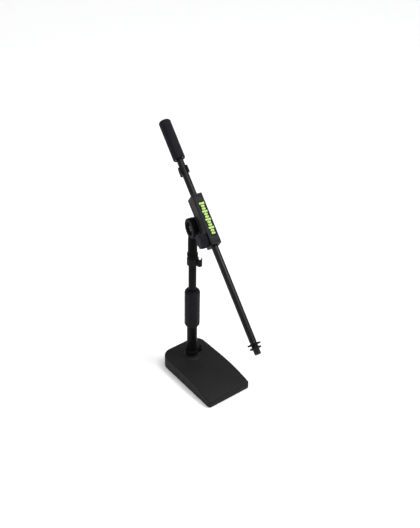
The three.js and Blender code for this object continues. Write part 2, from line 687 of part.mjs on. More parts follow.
function makeCounterweight(boom) {
  const floor = WEIGHT_REAR + 4.2;
  const coreRadius = 11.5;
  const bore = coreRadius + GAP;
  boom.add(piece('counterweight_core',
    onBoomAxis(ring(BOOM_RADIUS + GAP, coreRadius, floor + GAP, WEIGHT_FRONT - 2.5)), 'steel'));
  boom.add(piece('counterweight_sleeve', onBoomAxis(turned([
    [0, WEIGHT_REAR], [WEIGHT_RADIUS - 4, WEIGHT_REAR], [WEIGHT_RADIUS - 1.2, WEIGHT_REAR + 1.4],
    [WEIGHT_RADIUS, WEIGHT_REAR + 4.2], [WEIGHT_RADIUS, WEIGHT_FRONT - 2.6],
    [WEIGHT_RADIUS - 0.8, WEIGHT_FRONT - 0.7], [WEIGHT_RADIUS - 2, WEIGHT_FRONT], [bore, WEIGHT_FRONT],
    [bore, floor], [0, floor],
  ])), 'rubber'));
}

// ---------------------------------------------------------------- assembly

const head = new THREE.Group();
head.position.set(POLE_X, 0, PIVOT_HEIGHT);
head.rotation.z = THREE.MathUtils.degToRad(BOOM_YAW);
head.add(makeNeck(), makeTiltFasteners());

const tilting = new THREE.Group();
tilting.rotation.y = THREE.MathUtils.degToRad(BOOM_PITCH);
tilting.add(makeBlock(), makeKnob(), makeBoom());
head.add(tilting);

const stand = new THREE.Group();
stand.add(makeBase(), makeColumn(), head);

export default stand;
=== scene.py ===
"""Looks of the desktop microphone stand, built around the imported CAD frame.

Shapes are drawn in millimetres in local frames taken from the joints, then placed in metres.
"""
import json
from math import atan2, cos, pi, radians, sin, tan

import bmesh
import bpy
from mathutils import Matrix, Vector


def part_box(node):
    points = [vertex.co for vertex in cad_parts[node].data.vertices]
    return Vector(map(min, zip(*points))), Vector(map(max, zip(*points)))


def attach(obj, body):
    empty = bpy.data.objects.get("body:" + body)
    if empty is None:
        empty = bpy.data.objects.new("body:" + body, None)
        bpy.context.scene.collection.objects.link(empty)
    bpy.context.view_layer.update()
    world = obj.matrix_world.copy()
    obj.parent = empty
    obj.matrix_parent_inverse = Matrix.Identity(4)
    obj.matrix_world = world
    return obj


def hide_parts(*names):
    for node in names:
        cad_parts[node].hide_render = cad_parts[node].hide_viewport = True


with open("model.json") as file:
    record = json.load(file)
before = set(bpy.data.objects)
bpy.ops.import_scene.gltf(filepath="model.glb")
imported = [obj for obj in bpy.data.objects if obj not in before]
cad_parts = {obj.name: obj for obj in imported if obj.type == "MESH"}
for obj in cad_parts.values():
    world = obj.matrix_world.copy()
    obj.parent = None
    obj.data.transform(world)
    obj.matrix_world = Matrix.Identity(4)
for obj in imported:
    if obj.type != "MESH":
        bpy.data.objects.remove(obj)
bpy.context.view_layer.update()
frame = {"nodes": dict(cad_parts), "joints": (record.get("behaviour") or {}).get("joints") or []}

MM = 0.001
FINE_SIDES = 96                       # round the tubes and other large turned pieces

# ---------------------------------------------------------------- frames, in millimetres

joints = {joint["name"]: joint for joint in frame["joints"]}
ALONG_X = Matrix.Rotation(pi / 2, 4, "Y")
ALONG_MINUS_Y = Matrix.Rotation(pi / 2, 4, "X")


def place(joint):
    return Vector(joints[joint]["pos_m"]) / MM


def frame_at(origin, x_axis, y_axis):
    z_axis = x_axis.cross(y_axis)
    columns = Matrix((x_axis, y_axis, z_axis)).transposed().to_4x4()
    return Matrix.Translation(origin) @ columns


def extent(node, axis):
    """Lowest and highest coordinate of a CAD node along a row axis, in millimetres."""
    low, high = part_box(node)
    return low[axis] / MM, high[axis] / MM


pole = place("boom_swivel")
POLE = Matrix.Translation((pole.x, pole.y, 0))
PIVOT = place("boom_tilt")
SIDE = Vector(joints["boom_tilt"]["axis"])               # sideways, towards the knob
ALONG = Vector(joints["boom_slide"]["axis"])             # down the boom, towards the thread
LEVEL = Vector((0, 0, 1)).cross(SIDE)

HEAD = frame_at(PIVOT, LEVEL, -SIDE)
TILT = frame_at(PIVOT, ALONG, -SIDE)
NECK_DISC = HEAD @ ALONG_MINUS_Y
to_tilt = TILT.inverted()
boom_axis = to_tilt @ place("lock_wing_turn")
knob_axis = to_tilt @ place("clamp_knob_turn")
BOOM_SIDE, BOOM_RISE = boom_axis.y, boom_axis.z
KNOB_STATION = knob_axis.x
BOOM = TILT @ Matrix.Translation((0, BOOM_SIDE, BOOM_RISE)) @ ALONG_X
KNOB = TILT @ Matrix.Translation((KNOB_STATION, 0, BOOM_RISE)) @ ALONG_MINUS_Y

# ---------------------------------------------------------------- mesh tools


def rounded(corners, steps=4):
    """Corners (x, y) or (x, y, radius) of a closed outline, with each radius drawn as an arc."""
    points = []
    count = len(corners)
    for i, corner in enumerate(corners):
        here = Vector(corner[:2])
        radius = corner[2] if len(corner) > 2 else 0
        if radius <= 0:
            points.append(here)
            continue
        back = Vector(corners[i - 1][:2]) - here
        ahead = Vector(corners[(i + 1) % count][:2]) - here
        half = back.angle(ahead) / 2
        reach = min(radius / tan(half), 0.49 * back.length, 0.49 * ahead.length)
        radius = reach * tan(half)
        centre = here + (back.normalized() + ahead.normalized()).normalized() * (radius / sin(half))
        start = here + back.normalized() * reach - centre
        finish = here + ahead.normalized() * reach - centre
        turn = atan2(start.cross(finish), start.dot(finish))
        for k in range(steps + 1):
            points.append(centre + Matrix.Rotation(turn * k / steps, 2) @ start)
    return points


def turned(mesh, section, sides=72, shape=None):
    """Revolves a closed section of (radius, height) points about +Z. shape moves each point."""
    rings = []
    for radius, height in section:
        if radius < 1e-6:
            rings.append([mesh.verts.new((0, 0, height))] * sides)
            continue
        ring = []
        for k in range(sides):
            angle = 2 * pi * k / sides
            r, z = shape(radius, height, angle) if shape else (radius, height)
            ring.append(mesh.verts.new((r * cos(angle), r * sin(angle), z)))
        rings.append(ring)
    skin(mesh, rings, closed=True)


def skin(mesh, rings, closed):
    """Faces between closed loops of vertices. closed also joins the last loop to the first."""
    count = len(rings[0])
    for i in range(len(rings) if closed else len(rings) - 1):
        first, second = rings[i], rings[(i + 1) % len(rings)]
        for k in range(count):
            n = (k + 1) % count
            corners = [first[k], first[n], second[n], second[k]]
            unique = [v for j, v in enumerate(corners) if v not in corners[:j]]
            if len(unique) > 2:
                mesh.faces.new(unique)


def loft(mesh, loops, closed=False):
    """Skin over loops of points with the same count. Open lofts get flat ends."""
    rings = [[mesh.verts.new(point) for point in loop] for loop in loops]
    skin(mesh, rings, closed)
    if not closed:
        mesh.faces.new(rings[0])
        mesh.faces.new(rings[-1])


def bar(mesh, low, high, radius=0.3, steps=2):
    """Box between two corners with rounded edges."""
    result = bmesh.ops.create_cube(mesh, size=1)
    size = Vector(high) - Vector(low)
    middle = (Vector(high) + Vector(low)) / 2
    for vert in result["verts"]:
        vert.co = middle + Vector(vert.co[i] * size[i] for i in range(3))
    edges = list({edge for vert in result["verts"] for edge in vert.link_edges})
    bmesh.ops.bevel(mesh, geom=edges, offset=radius, segments=steps, profile=0.5, affect="EDGES")


def move_since(mesh, start, matrix):
    """Moves the vertices that a mesh gained since it had a given number of them."""
    mesh.verts.ensure_lookup_table()
    bmesh.ops.transform(mesh, matrix=matrix, verts=mesh.verts[start:])


def swept(mesh, path, section):
    """Sweeps a section of (across, up) points along a flat path of (point, across, thickness)."""
    rings = []
    for point, across, thickness in path:
        rings.append([point + across * (a * thickness) + Vector((0, 0, z)) for a, z in section])
    loft(mesh, rings)


def arc_path(centre, radius, start, finish, wall, steps=40):
    """Path along an arc, with round noses at both ends."""
    path = []
    nose = [radians(a) for a in (86, 70, 50, 25)]
    lead = wall / 2 / radius

    def at(angle, thickness):
        across = Vector((cos(angle), sin(angle), 0))
        path.append((centre + across * radius, across, thickness))

    for a in nose:
        at(start - lead * sin(a), cos(a))
    for k in range(steps + 1):
        at(start + (finish - start) * k / steps, 1)
    for a in reversed(nose):
        at(finish + lead * sin(a), cos(a))
    return path


def finish_piece(name, mesh, matrix, material, body, nodes=(), sharp=38):
    """Turns a mesh drawn in a local frame into a smooth-shaded piece riding on a body."""
    bmesh.ops.remove_doubles(mesh, verts=mesh.verts, dist=1e-4)
    bmesh.ops.dissolve_degenerate(mesh, edges=mesh.edges, dist=1e-5)
    bmesh.ops.recalc_face_normals(mesh, faces=mesh.faces)
    for face in mesh.faces:
        face.smooth = True
    for edge in mesh.edges:
        edge.smooth = edge.calc_face_angle(0) < radians(sharp)
    mesh.transform(Matrix.Scale(MM, 4) @ matrix)
    data = bpy.data.meshes.new(name)
    mesh.to_mesh(data)
    mesh.free()
    piece = bpy.data.objects.new(name, data)
    bpy.context.scene.collection.objects.link(piece)
    data.materials.append(material)
    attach(piece, body)
    if nodes:
        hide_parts(*nodes)
    return piece


def lathe(name, corners, matrix, material, body, nodes=(), sides=72, shape=None, steps=4):
    mesh = bmesh.new()
    turned(mesh, rounded(corners, steps), sides, shape)
    return finish_piece(name, mesh, matrix, material, body, nodes)


# ---------------------------------------------------------------- materials


class Surface:
    """Principled material whose colour, roughness and bump come from procedural noise."""

    def __init__(self, name, colour, roughness, metallic=0.0, specular=0.5):
        self.material = bpy.data.materials.new(name)
        self.material.use_nodes = True
        self.tree = self.material.node_tree
        self.shader = self.tree.nodes["Principled BSDF"]
        self.shader.inputs["Metallic"].default_value = metallic
        self.shader.inputs["Roughness"].default_value = roughness
        self.shader.inputs["Specular IOR Level"].default_value = specular
        self.shader.inputs["Base Color"].default_value = (*colour, 1)
        self.where = self.tree.nodes.new("ShaderNodeTexCoord").outputs["Object"]
        self.colour = None
        self.base = colour
        self.normal = None

    def node(self, kind, **values):
        made = self.tree.nodes.new(kind)
        for key, value in values.items():
            if hasattr(made, key):
                setattr(made, key, value)
            else:
                made.inputs[key.replace("_", " ")].default_value = value
        return made

    def link(self, source, target):
        self.tree.links.new(source, target)

    def noise(self, scale, detail=3.0, roughness=0.5, where=None):
        made = self.node("ShaderNodeTexNoise", Scale=scale, Detail=detail, Roughness=roughness)
        self.link(where or self.where, made.inputs["Vector"])
        return made.outputs["Fac"]

    def cells(self, scale, feature="F1"):
        made = self.node("ShaderNodeTexVoronoi", Scale=scale, feature=feature)
        self.link(self.where, made.inputs["Vector"])
        return made.outputs["Distance"]

    def span(self, source, low, high, to_low=0.0, to_high=1.0):
        made = self.node("ShaderNodeMapRange", clamp=True)
        made.inputs["From Min"].default_value = low
        made.inputs["From Max"].default_value = high
        made.inputs["To Min"].default_value = to_low
        made.inputs["To Max"].default_value = to_high
        self.link(source, made.inputs["Value"])
        return made.outputs["Result"]

    def stretched(self, axis, keep=0.04):
        """Coordinates squeezed along an axis, so noise on them draws streaks along it."""
        dot = self.node("ShaderNodeVectorMath", operation="DOT_PRODUCT")
        self.link(self.where, dot.inputs[0])
        dot.inputs[1].default_value = axis
        scale = self.node("ShaderNodeVectorMath", operation="SCALE")
        scale.inputs[0].default_value = axis
        self.link(dot.outputs["Value"], scale.inputs["Scale"])
        part = self.node("ShaderNodeVectorMath", operation="SCALE")
        self.link(scale.outputs["Vector"], part.inputs[0])
        part.inputs["Scale"].default_value = 1 - keep
        rest = self.node("ShaderNodeVectorMath", operation="SUBTRACT")
        self.link(self.where, rest.inputs[0])
        self.link(part.outputs["Vector"], rest.inputs[1])
        return rest.outputs["Vector"]

    def tint(self, share, colour):
        """Mixes a colour in by a share between 0 and 1."""
        mix = self.node("ShaderNodeMix", data_type="RGBA")
        self.link(share, mix.inputs[0])
        if self.colour is None:
            mix.inputs[6].default_value = (*self.base, 1)
        else:
            self.link(self.colour, mix.inputs[6])
        mix.inputs[7].default_value = (*colour, 1)
        self.colour = mix.outputs[2]
        self.link(self.colour, self.shader.inputs["Base Color"])
        return self

    def rough(self, source, low, high):
        self.link(self.span(source, 0.3, 0.7, low, high), self.shader.inputs["Roughness"])
        return self

    def bump(self, source, depth_mm, strength=1.0):
        made = self.node("ShaderNodeBump", Strength=strength, Distance=depth_mm * MM)
        self.link(source, made.inputs["Height"])
        if self.normal is not None:
            self.link(self.normal, made.inputs["Normal"])
        self.normal = made.outputs["Normal"]
        self.link(self.normal, self.shader.inputs["Normal"])
        return self


def make_cast():
    """Charcoal powder coat over a sand casting: hammered grain, pale flecks, dusty patches."""
    s = Surface("charcoal_cast_coat", (0.0085, 0.0086, 0.0088), 0.52, specular=0.09)
    s.tint(s.span(s.noise(18, 4), 0.38, 0.66, 0, 0.5), (0.0125, 0.0126, 0.0129))
    s.tint(s.span(s.noise(1500, 2), 0.56, 0.72, 0, 0.5), (0.03, 0.0303, 0.031))
    s.tint(s.span(s.cells(700), 0.02, 0.16, 0.55, 0), (0.004, 0.004, 0.0042))
    s.rough(s.noise(160, 4), 0.44, 0.62)
    s.bump(s.noise(420, 3), 0.22, 0.55)
    s.bump(s.cells(1300), 0.1, 0.6)
    return s.material


def make_tube(name, axis, specular):
    """Satin black powder coat on tube: orange peel, faint draw lines and rub marks."""
    s = Surface(name, (0.0036, 0.0037, 0.0041), 0.3, specular=specular)
    lines = s.noise(900, 3, where=s.stretched(axis))
    s.tint(s.span(lines, 0.52, 0.74, 0, 0.35), (0.012, 0.0123, 0.0134))
    s.tint(s.span(s.noise(26, 3), 0.45, 0.7, 0, 0.45), (0.006, 0.0062, 0.007))
    s.rough(s.noise(700, 3, where=s.stretched(axis, 0.1)), 0.26, 0.42)
    s.bump(s.noise(850, 2), 0.05, 0.45)
    s.bump(lines, 0.02, 0.35)
    return s.material


def make_rubber():
    """Soft-touch rubber, slightly blue, with fine matt grain, greyer patches and pale flecks."""
    s = Surface("soft_rubber", (0.0072, 0.0072, 0.0098), 0.56, specular=0.06)
    s.shader.inputs["Sheen Weight"].default_value = 0.03
    s.shader.inputs["Sheen Roughness"].default_value = 0.45
    s.tint(s.span(s.noise(60, 4), 0.4, 0.68, 0, 0.5), (0.0115, 0.0115, 0.015))
    s.tint(s.span(s.noise(2600, 2), 0.55, 0.72, 0, 0.4), (0.022, 0.022, 0.027))
    s.rough(s.noise(220, 4), 0.48, 0.66)
    s.bump(s.noise(1800, 2), 0.06, 0.5)
    s.bump(s.noise(120, 3), 0.12, 0.25)
    return s.material


def make_plastic(name, colour, pale, roughness, specular=0.08):
    """Moulded plastic with spark-eroded grain, flow marks and a little dust."""
    s = Surface(name, colour, roughness, specular=specular)
    s.tint(s.span(s.noise(40, 4), 0.42, 0.7, 0, 0.5), pale)
    s.tint(s.span(s.cells(1900), 0.0, 0.2, 0.4, 0), tuple(c * 0.45 for c in colour))
    s.rough(s.noise(300, 4), roughness - 0.07, roughness + 0.1)
    s.bump(s.noise(1500, 3), 0.05, 0.5)
    s.bump(s.noise(90, 2), 0.08, 0.2)
    return s.material


def make_die_cast():
    """Black powder-coated die casting: orange peel and rubbed, slightly bare high spots."""
    s = Surface("black_die_cast_coat", (0.0022, 0.0023, 0.0025), 0.42, specular=0.03)
    s.tint(s.span(s.noise(55, 5), 0.42, 0.7, 0, 0.5), (0.0065, 0.0066, 0.007))
    s.tint(s.span(s.noise(1100, 2), 0.6, 0.74, 0, 0.45), (0.022, 0.0224, 0.0235))
    s.rough(s.noise(240, 4), 0.34, 0.54)
    s.bump(s.noise(620, 3), 0.12, 0.5)
    return s.material


def make_steel(name, colour, pale, roughness, axis):
    """Plated steel with fine tool lines and cloudy plating."""
    s = Surface(name, colour, roughness, metallic=1.0)
    lines = s.noise(1500, 4, where=s.stretched(axis, 0.08))
    s.tint(s.span(lines, 0.4, 0.7, 0, 0.6), pale)
    s.tint(s.span(s.noise(140, 4), 0.5, 0.75, 0, 0.35), tuple(c * 0.6 for c in colour))
    s.rough(s.noise(400, 3), roughness - 0.06, roughness + 0.12)
    s.bump(lines, 0.015, 0.5)
    return s.material


def make_lime():
    """Screen-printed lime ink: slightly uneven film with tiny pinholes."""
    s = Surface("lime_ink", (0.38, 0.58, 0.14), 0.42, specular=0.3)
    s.tint(s.span(s.noise(260, 4), 0.42, 0.66, 0, 0.5), (0.46, 0.67, 0.21))
    s.tint(s.span(s.cells(1600), 0.0, 0.11, 0.7, 0), (0.12, 0.2, 0.04))
    s.rough(s.noise(500, 3), 0.34, 0.52)
    s.bump(s.noise(1200, 3), 0.03, 0.5)
    return s.material


def make_foam():
    """Open-cell rubber pad."""
    s = Surface("pad_rubber", (0.011, 0.011, 0.012), 0.85, specular=0.25)
    s.tint(s.span(s.cells(900), 0.05, 0.4, 0, 0.6), (0.026, 0.026, 0.028))
    s.tint(s.span(s.noise(60, 3), 0.45, 0.7, 0, 0.4), (0.018, 0.018, 0.02))
    s.bump(s.cells(900), 0.3, 0.7)
    return s.material


CAST = make_cast()
POLE_TUBE = make_tube("black_tube_column", (0, 0, 1), 0.05)
BOOM_TUBE = make_tube("black_tube_boom", tuple(ALONG), 0.16)
RUBBER = make_rubber()
PLASTIC = make_plastic("moulded_plastic", (0.0042, 0.0042, 0.0046), (0.0085, 0.0085, 0.0092), 0.44)
BLOCK_PLASTIC = make_plastic("block_plastic", (0.007, 0.0068, 0.0076), (0.012, 0.0117, 0.0129), 0.4)
NYLON = make_plastic("dark_nylon", (0.028, 0.028, 0.03), (0.045, 0.045, 0.048), 0.5)
DIE_CAST = make_die_cast()
ZINC = make_steel("zinc_steel", (0.36, 0.37, 0.39), (0.5, 0.51, 0.53), 0.32, (0, 0, 1))
BLACK_STEEL = make_steel(
    "black_oxide_steel", (0.03, 0.031, 0.033), (0.055, 0.056, 0.06), 0.34, tuple(SIDE))
BLACK_THREAD = make_steel(
    "black_thread_steel", (0.03, 0.031, 0.033), (0.06, 0.061, 0.064), 0.3, tuple(ALONG))
LIME = make_lime()
FOAM = make_foam()

# ---------------------------------------------------------------- base

BASE_LENGTH, BASE_REAR_WIDTH, BASE_FRONT_WIDTH = 206, 118, 125
BASE_REAR_HEIGHT, BASE_FRONT_HEIGHT = 34, 18
BASE_LEVEL_LENGTH, BASE_FALL_POWER = 84, 2.3
BASE_REAR_CORNER, BASE_FRONT_CORNER = 27, 6
BASE_EDGE, BASE_FOOT_CHAMFER, BASE_LIFT = 3, 1.2, 1
BOSS_RADIUS, BOSS_FOOT_RADIUS, BOSS_TOP = 17.5, 21, 39.5
PAD_RECESS, PAD_WALL = 3, 6.4


def base_top(x):
    start = -BASE_LENGTH / 2 + BASE_LEVEL_LENGTH
    share = max(0, (x - start) / (BASE_LENGTH / 2 - start))
    return BASE_REAR_HEIGHT - (BASE_REAR_HEIGHT - BASE_FRONT_HEIGHT) * share ** BASE_FALL_POWER


def base_outline(inset):
    """Half of the outline, rear to front on the +Y side, moved in by an inset."""
    rear_steps, side_steps, front_steps = 16, 48, 9
    half_length, half_width = BASE_LENGTH / 2, BASE_REAR_WIDTH / 2
    rear, front = BASE_REAR_CORNER, BASE_FRONT_CORNER
    rear_arc, front_arc = rear - inset, max(front - inset, 0.6)
    points = []
    for k in range(rear_steps + 1):
        angle = pi - k / rear_steps * pi / 2
        points.append((-half_length + inset + rear_arc * (1 + cos(angle)),
                       half_width - inset - rear_arc * (1 - sin(angle))))
    low = -half_length + inset + rear_arc
    high = half_length - inset - front_arc
    for k in range(1, side_steps):
        points.append((low + (high - low) * k / side_steps, half_width - inset))
    for k in range(front_steps + 1):
        angle = pi / 2 - k / front_steps * pi / 2
        points.append((high + front_arc * cos(angle), half_width - inset - front_arc * (1 - sin(angle))))
    widen = (BASE_FRONT_WIDTH / BASE_REAR_WIDTH - 1) / BASE_LENGTH
    return [(x, y * (1 + widen * (x + half_length))) for x, y in points]


def slab(mesh, levels):
    """Closed skin over stacked outlines, with both ends ruled from side to side."""
    rings = []
    for inset, height in levels:
        half = base_outline(inset)
        ring = [mesh.verts.new((x, y, height(x))) for x, y in half]
        ring += [mesh.verts.new((x, -y, height(x))) for x, y in reversed(half)]
        rings.append(ring)
    skin(mesh, rings, closed=False)
    for ring in (rings[0], rings[-1]):
        last = len(ring) - 1
        for k in range(len(ring) // 2 - 1):
            mesh.faces.new((ring[k], ring[k + 1], ring[last - k - 1], ring[last - k]))


def make_base():
    mesh = bmesh.new()
    levels = [(PAD_WALL, lambda x: PAD_RECESS), (PAD_WALL, lambda x: BASE_LIFT + 0.5),
              (PAD_WALL - 0.5, lambda x: BASE_LIFT), (BASE_FOOT_CHAMFER + 0.3, lambda x: BASE_LIFT)]
    foot_steps, edge_steps = 4, 8
    for k in range(1, foot_steps + 1):
        angle = k / foot_steps * pi / 2
        levels.append((BASE_FOOT_CHAMFER * (1 - sin(angle)),
                       lambda x, a=angle: BASE_LIFT + BASE_FOOT_CHAMFER * (1 - cos(a))))
    for k in range(edge_steps + 1):
        angle = k / edge_steps * pi / 2
        levels.append((BASE_EDGE * (1 - cos(angle)),
                       lambda x, a=angle: base_top(x) - BASE_EDGE * (1 - sin(a))))
    slab(mesh, levels)
    finish_piece("base_casting", mesh, Matrix(), CAST, "stand_base", ["base_weight"])

    flare, bore, buried = 26, 6, BASE_REAR_HEIGHT - 2
    lathe("base_boss", [
        (flare, buried), (flare, BASE_REAR_HEIGHT + 0.02), (BOSS_FOOT_RADIUS, BASE_REAR_HEIGHT + 0.6, 6),
        (BOSS_RADIUS + 0.8, BOSS_TOP - 1.8, 3), (BOSS_RADIUS - 0.2, BOSS_TOP, 1),
        (BOSS_RADIUS - 2.6, BOSS_TOP, 0.3), (BOSS_RADIUS - 3, BOSS_TOP - 0.5), (bore, BOSS_TOP - 0.5),
        (bore, buried),
    ], POLE, CAST, "stand_base", sides=FINE_SIDES, steps=6)


# ---------------------------------------------------------------- cable clips

CLIP_WALL, BASE_CLIP_WALL, CLIP_GAP = 3.8, 2.4, 0.3
HOOK_BORE, HOOK_WALL = 4.4, 2
CLIP_MOUTH = 0.62                    # half angle of the band's mouth, in radians
HOOK_START, HOOK_FINISH = 0.8, 2.32  # ends of the hook's arc, in half turns


def cable_clip(name, matrix, tube_radius, width, body, node, clip_wall=CLIP_WALL):
    """Spring band round a tube, with a cable hook beside it. Width runs up from z = 0."""
    inner = tube_radius + CLIP_GAP
    middle = inner + clip_wall / 2
    hook_centre = Vector((inner + clip_wall + HOOK_BORE + 0.3, 0, 0))

    def section(wall):
        half, edge = wall / 2, 0.7
        return [tuple(p) for p in rounded([
            (-half, 0, edge), (half, 0, edge), (half, width, edge), (-half, width, edge)], 4)]

    mesh = bmesh.new()
    band = arc_path(Vector((0, 0, 0)), middle, pi + CLIP_MOUTH + 0.05, 3 * pi - CLIP_MOUTH - 0.05,
                    clip_wall, 64)
    swept(mesh, band, section(clip_wall))
    hook = arc_path(hook_centre, HOOK_BORE + HOOK_WALL / 2, pi * HOOK_START, pi * HOOK_FINISH,
                    HOOK_WALL, 48)
    swept(mesh, hook, section(HOOK_WALL))
    for side in (-1, 1):
        rib = rounded([(inner + 1, side * 1.2), (inner + 5, side * 4.6, 1),
                       (inner + 1.2, side * 7.2, 0.6)], 3)
        loft(mesh, [[(x, y, z) for x, y in rib] for z in (width * 0.42, width * 0.58)])
    for end in (-1, 1):
        angle = pi + end * (CLIP_MOUTH + 0.02)
        across = Vector((cos(angle), sin(angle), 0))
        bead = Matrix.Translation(across * middle)
        start = len(mesh.verts)
        bead_radius = clip_wall / 2 + 0.2
        turned(mesh, rounded([(0, 0.15), (bead_radius, 0.15, 0.5), (bead_radius, width - 0.15, 0.5),
                              (0, width - 0.15)], 3), 20)
        move_since(mesh, start, bead)
    return finish_piece(name, mesh, matrix, PLASTIC, body, [node])


# ---------------------------------------------------------------- column

LOWER_TUBE_RADIUS, LOWER_TUBE_BORE = 12.7, 11.2
UPPER_TUBE_RADIUS, UPPER_TUBE_BORE = 9.5, 8
GRIP_RADIUS, GRIP_WALL, GRIP_FACETS = 19, 2.8, 12
FACET_STEPS = 12                     # sides drawn across each facet


def facets(count, outer):
    """Radius of a polygon with softened ridges that touches a circle of the outer radius."""
    half, corner = pi / count, 0.2

    def shape(radius, height, angle):
        if radius < outer * 0.86:
            return radius, height
        off = abs((angle + half) % (2 * half) - half)
        flat = cos(half) / cos(half - off)
        soft = 1 - (1 - flat) * (1 - corner * (1 - off / half) ** 6)
        return radius * soft, height

    return shape


def make_column():
    ring_low, ring_high = extent("pole_foot_ring", 2)
    lathe("pole_collar", [
        (LOWER_TUBE_RADIUS + 0.3, ring_low), (16, ring_low, 0.3), (16, ring_high - 1, 0.5),
        (15, ring_high, 0.4), (LOWER_TUBE_RADIUS + 0.3, ring_high, 0.3),
    ], POLE, PLASTIC, "stand_base", ["pole_foot_ring"], sides=FINE_SIDES)
    low, high = extent("lower_tube", 2)
    lathe("lower_pole", [
        (LOWER_TUBE_BORE, low), (LOWER_TUBE_RADIUS, low, 0.4), (LOWER_TUBE_RADIUS, high, 0.6),
        (LOWER_TUBE_BORE, high, 0.4),
    ], POLE, POLE_TUBE, "stand_base", ["lower_tube"], sides=FINE_SIDES)
    low, high = extent("upper_tube", 2)
    lathe("upper_pole", [
        (UPPER_TUBE_BORE, low), (UPPER_TUBE_RADIUS, low, 0.4), (UPPER_TUBE_RADIUS, high, 0.5),
        (UPPER_TUBE_BORE, high, 0.3),
    ], POLE, POLE_TUBE, "riser", ["upper_tube"], sides=FINE_SIDES)

    make_clutch()

    low, high = extent("base_cable_clip", 2)
    cable_clip("base_clip_band", POLE @ Matrix.Translation((0, 0, low)) @ hook_angle("base_cable_clip"),
               LOWER_TUBE_RADIUS, high - low, "base_clip", "base_cable_clip", BASE_CLIP_WALL)
    low, high = extent("column_cable_clip", 2)
    cable_clip("column_clip_band", POLE @ Matrix.Translation((0, 0, low)) @ hook_angle("column_cable_clip"),
               UPPER_TUBE_RADIUS, high - low, "column_clip", "column_cable_clip")

    low, high = extent("column_cap", 2)
    lip = high - 3.3
    lathe("column_top_cap", [
        (5.4, low), (UPPER_TUBE_BORE - 0.3, low, 0.4), (UPPER_TUBE_BORE - 0.3, lip), (12.5, lip, 0.3),
        (12.7, high - 1, 0.4), (12.3, high, 0.4), (5.4, high),
    ], POLE, PLASTIC, "riser", ["column_cap"], sides=FINE_SIDES)


def hook_angle(node):
    """Turn about the column that points a clip's hook the way its CAD solid points."""
    offsets = [(vert.co.x / MM - pole.x, vert.co.y / MM - pole.y)
               for vert in frame["nodes"][node].data.vertices]
    reach = max(x ** 2 + y ** 2 for x, y in offsets)
    near_tip = reach * 0.96
    tip = [(x, y) for x, y in offsets if x ** 2 + y ** 2 > near_tip]
    return Matrix.Rotation(atan2(sum(y for _, y in tip), sum(x for x, _ in tip)), 4, "Z")


def make_clutch():
    low, high = extent("clutch_core", 2)
    inner = GRIP_RADIUS - GRIP_WALL - 0.3
    lower_end, upper_end = 13.7, 13.2
    lathe("clutch_body", [
        (LOWER_TUBE_RADIUS + 0.3, low, 0.3), (lower_end, low, 0.5), (inner, low + 2.4, 0.5),
        (inner, high - 3, 0.8), (upper_end, high, 0.8), (UPPER_TUBE_RADIUS + 0.6, high, 0.5),
        (UPPER_TUBE_RADIUS + 0.6, high - 17.6),
        (11.9, high - 20), (LOWER_TUBE_RADIUS + 0.3, high - 38.2),
    ], POLE, PLASTIC, "clutch", ["clutch_core"], sides=FINE_SIDES)

    low, high = extent("clutch_grip", 2)
    wall = GRIP_RADIUS - GRIP_WALL
    section = rounded([(wall, low, 0.2), (GRIP_RADIUS, low + 3.8, 1.6),
                       (GRIP_RADIUS, high - 3.4, 1.6), (wall, high, 0.2)], 6)
    mesh = bmesh.new()
    turned(mesh, section, GRIP_FACETS * FACET_STEPS, facets(GRIP_FACETS, GRIP_RADIUS))
    finish_piece("clutch_sleeve", mesh, POLE, RUBBER, "clutch", ["clutch_grip"])


# ---------------------------------------------------------------- swivel neck

DISC_RADIUS, FACE_OUT, FACE_IN = 25, -9.5, 5.5
STEM_RADIUS, FLANGE_RADIUS = 11.4, 13.4
BOLT_RECESS, COUNTERBORE = 4, 3.6
DISH = -FACE_OUT - BOLT_RECESS       # floor of the shallow dish round the tilt bolt
TILT_BOLT_SEAT = DISH - COUNTERBORE  # floor of the counterbore in that dish


def blended(name, mesh, matrix, voxel, passes, material, body, nodes):
    """A casting: overlapping solids fused by remeshing, with soft fillets where they meet."""
    piece = finish_piece(name, mesh, matrix, material, body, nodes)
    remesh = piece.modifiers.new("fuse", "REMESH")
    remesh.mode = "VOXEL"
    remesh.voxel_size = voxel * MM
    remesh.use_smooth_shade = True
    soften = piece.modifiers.new("soften", "SMOOTH")
    soften.factor = 0.5
    soften.iterations = passes
    return piece


